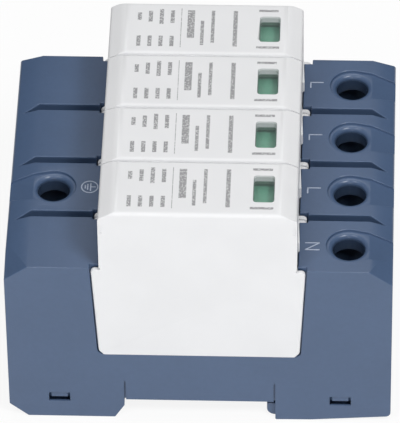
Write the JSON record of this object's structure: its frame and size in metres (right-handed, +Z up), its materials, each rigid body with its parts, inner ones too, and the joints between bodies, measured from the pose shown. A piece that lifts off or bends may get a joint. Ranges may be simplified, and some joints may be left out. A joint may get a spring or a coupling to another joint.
{
  "type": "din rail surge arrester",
  "caption": "Rail-mounted surge arrester: blue-grey base with screw terminals at both ends and white plug-in modules, each with a status window.",
  "frame": {"origin": "middle of the base on the plane of the feet", "axes": "+X across the rail towards the line terminals, +Y along the rail, +Z up out of the plugs' tops"},
  "size_m": [0.09, 0.0716, 0.0674],
  "materials": {
    "base_plastic": "satin moulded blue-grey plastic",
    "insert_plastic": "satin moulded blue-grey plastic",
    "plug_plastic": "fine satin white moulded plastic",
    "lens": "clear polished plastic",
    "flag_green": "green plastic",
    "card_red": "red printed card",
    "zinc_steel": "zinc-plated steel",
    "spring_steel": "drawn spring wire",
    "copper": "bare rolled copper strip",
    "tinned": "tin-plated copper strip",
    "varistor_coat": "epoxy-coated metal oxide block"
  },
  "bodies": {
    "base": {"base_housing": "base_plastic", "base_floor": "insert_plastic", "line_contact_1": "copper", "line_contact_2": "copper", "line_contact_3": "copper", "line_contact_4": "copper", "earth_busbar": "copper"},
    "clip_front": {"rail_clip_front": "base_plastic"},
    "clip_rear": {"rail_clip_rear": "base_plastic"},
    "plug_1": {"plug_housing_1": "plug_plastic", "plug_cover_1": "plug_plastic", "window_lens_1": "lens", "red_card_1": "card_red", "trip_spring_1": "spring_steel", "varistor_1": "varistor_coat", "line_blade_1": "tinned", "earth_blade_1": "tinned"},
    "trip_1": {"trip_slider_1": "flag_green"},
    "plug_2": {"plug_housing_2": "plug_plastic", "plug_cover_2": "plug_plastic", "window_lens_2": "lens", "red_card_2": "card_red", "trip_spring_2": "spring_steel", "varistor_2": "varistor_coat", "line_blade_2": "tinned", "earth_blade_2": "tinned"},
    "trip_2": {"trip_slider_2": "flag_green"},
    "plug_3": {"plug_housing_3": "plug_plastic", "plug_cover_3": "plug_plastic", "window_lens_3": "lens", "red_card_3": "card_red", "trip_spring_3": "spring_steel", "varistor_3": "varistor_coat", "line_blade_3": "tinned", "earth_blade_3": "tinned"},
    "trip_3": {"trip_slider_3": "flag_green"},
    "plug_4": {"plug_housing_4": "plug_plastic", "plug_cover_4": "plug_plastic", "window_lens_4": "lens", "red_card_4": "card_red", "trip_spring_4": "spring_steel", "varistor_4": "varistor_coat", "line_blade_4": "tinned", "earth_blade_4": "tinned"},
    "trip_4": {"trip_slider_4": "flag_green"},
    "screw_1": {"line_terminal_screw_1": "zinc_steel"},
    "cage_1": {"line_terminal_cage_1": "zinc_steel"},
    "screw_2": {"line_terminal_screw_2": "zinc_steel"},
    "cage_2": {"line_terminal_cage_2": "zinc_steel"},
    "screw_3": {"line_terminal_screw_3": "zinc_steel"},
    "cage_3": {"line_terminal_cage_3": "zinc_steel"},
    "screw_4": {"line_terminal_screw_4": "zinc_steel"},
    "cage_4": {"line_terminal_cage_4": "zinc_steel"},
    "screw_earth": {"earth_terminal_screw": "zinc_steel"},
    "cage_earth": {"earth_terminal_cage": "zinc_steel"}
  },
  "joints": [
    {"name": "plug_1_pull", "type": "slide", "parent": "base", "child": "plug_1", "axis": [0, 0, 1], "range_m": [0, 0.05]},
    {"name": "trip_1_slide", "type": "slide", "parent": "plug_1", "child": "trip_1", "axis": [-1, 0, 0], "range_m": [0, 0.0066]},
    {"name": "plug_2_pull", "type": "slide", "parent": "base", "child": "plug_2", "axis": [0, 0, 1], "range_m": [0, 0.05]},
    {"name": "trip_2_slide", "type": "slide", "parent": "plug_2", "child": "trip_2", "axis": [-1, 0, 0], "range_m": [0, 0.0066]},
    {"name": "plug_3_pull", "type": "slide", "parent": "base", "child": "plug_3", "axis": [0, 0, 1], "range_m": [0, 0.05]},
    {"name": "trip_3_slide", "type": "slide", "parent": "plug_3", "child": "trip_3", "axis": [-1, 0, 0], "range_m": [0, 0.0066]},
    {"name": "plug_4_pull", "type": "slide", "parent": "base", "child": "plug_4", "axis": [0, 0, 1], "range_m": [0, 0.05]},
    {"name": "trip_4_slide", "type": "slide", "parent": "plug_4", "child": "trip_4", "axis": [-1, 0, 0], "range_m": [0, 0.0066]},
    {"name": "clip_front_slide", "type": "slide", "parent": "base", "child": "clip_front", "axis": [1, 0, 0], "range_m": [0, 0.0032]},
    {"name": "clip_rear_slide", "type": "slide", "parent": "base", "child": "clip_rear", "axis": [1, 0, 0], "range_m": [0, 0.0032]},
    {"name": "screw_1_turn", "type": "hinge", "parent": "base", "child": "screw_1", "pos_m": [0.0347, -0.027, 0.0405], "axis": [0, 0, -1], "range_deg": [0, 2925.1]},
    {"name": "cage_1_lift", "type": "slide", "parent": "base", "child": "cage_1", "axis": [0, 0, 1], "range_m": [0, 0.0065]},
    {"name": "screw_2_turn", "type": "hinge", "parent": "base", "child": "screw_2", "pos_m": [0.0347, -0.009, 0.0405], "axis": [0, 0, -1], "range_deg": [0, 2925.1]},
    {"name": "cage_2_lift", "type": "slide", "parent": "base", "child": "cage_2", "axis": [0, 0, 1], "range_m": [0, 0.0065]},
    {"name": "screw_3_turn", "type": "hinge", "parent": "base", "child": "screw_3", "pos_m": [0.0347, 0.009, 0.0405], "axis": [0, 0, -1], "range_deg": [0, 2925.1]},
    {"name": "cage_3_lift", "type": "slide", "parent": "base", "child": "cage_3", "axis": [0, 0, 1], "range_m": [0, 0.0065]},
    {"name": "screw_4_turn", "type": "hinge", "parent": "base", "child": "screw_4", "pos_m": [0.0347, 0.027, 0.0405], "axis": [0, 0, -1], "range_deg": [0, 2925.1]},
    {"name": "cage_4_lift", "type": "slide", "parent": "base", "child": "cage_4", "axis": [0, 0, 1], "range_m": [0, 0.0065]},
    {"name": "screw_earth_turn", "type": "hinge", "parent": "base", "child": "screw_earth", "pos_m": [-0.0347, -0.009, 0.0405], "axis": [0, 0, -1], "range_deg": [0, 2925.1]},
    {"name": "cage_earth_lift", "type": "slide", "parent": "base", "child": "cage_earth", "axis": [0, 0, 1], "range_m": [0, 0.0065]}
  ],
  "couplings": [
    {"joint": "screw_1_turn", "follows": "cage_1_lift", "rad_per_m": 7854},
    {"joint": "screw_2_turn", "follows": "cage_2_lift", "rad_per_m": 7854},
    {"joint": "screw_3_turn", "follows": "cage_3_lift", "rad_per_m": 7854},
    {"joint": "screw_4_turn", "follows": "cage_4_lift", "rad_per_m": 7854},
    {"joint": "screw_earth_turn", "follows": "cage_earth_lift", "rad_per_m": 7854}
  ]
}
